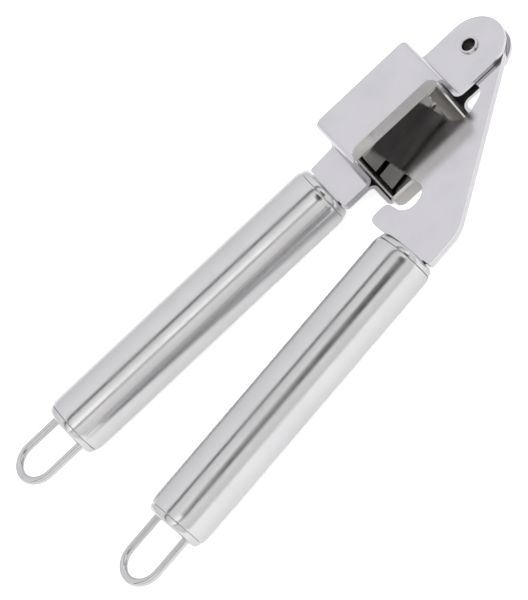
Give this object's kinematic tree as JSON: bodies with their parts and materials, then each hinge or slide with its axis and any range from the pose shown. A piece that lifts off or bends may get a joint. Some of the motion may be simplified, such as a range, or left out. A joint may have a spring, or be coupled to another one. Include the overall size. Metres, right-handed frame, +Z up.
{
  "type": "garlic press",
  "caption": "Hand-held garlic press: hinged sheet-metal arms on round tube handles, a lift-out sieve box, a folded presser and wire hanging loops.",
  "frame": {"origin": "centre of the bounding box's bottom face, with the press lying on its side", "axes": "+X along the basket arm from its handle to the pivot, +Y from the mouth of the housing to its sieve floor, +Z up along the pivot axis"},
  "size_m": [0.1952, 0.0758, 0.0332],
  "materials": {
    "satin_sheet": "satin stainless sheet with tumbled edges",
    "pressing_plate": "plain stainless plate with a fine brushed grain",
    "sieve_sheet": "bright rolled stainless sheet",
    "polished_tube": "polished stainless tube",
    "polished_cap": "polished pressed stainless cap",
    "wire": "drawn stainless wire, lightly polished",
    "rivet_steel": "bright stainless rivet"
  },
  "bodies": {
    "basket_arm": {"basket_side_plate_near": "satin_sheet", "basket_side_plate_far": "satin_sheet", "sieve_insert": "sieve_sheet", "pivot_rivet": "rivet_steel", "basket_handle_tube": "polished_tube", "basket_handle_collar": "polished_cap", "basket_handle_end_cap": "polished_cap", "basket_hanging_loop": "wire"},
    "press_arm": {"press_side_plate_near": "satin_sheet", "press_side_plate_far": "satin_sheet", "pressing_plate": "pressing_plate", "press_handle_tube": "polished_tube", "press_handle_collar": "polished_cap", "press_handle_end_cap": "polished_cap", "press_hanging_loop": "wire"}
  },
  "joints": [
    {"name": "press_pivot", "type": "hinge", "parent": "basket_arm", "child": "press_arm", "pos_m": [0.0866, 0.02764, 0.0166], "axis": [0, 0, 1], "range_deg": [-10.1, 160]}
  ]
}
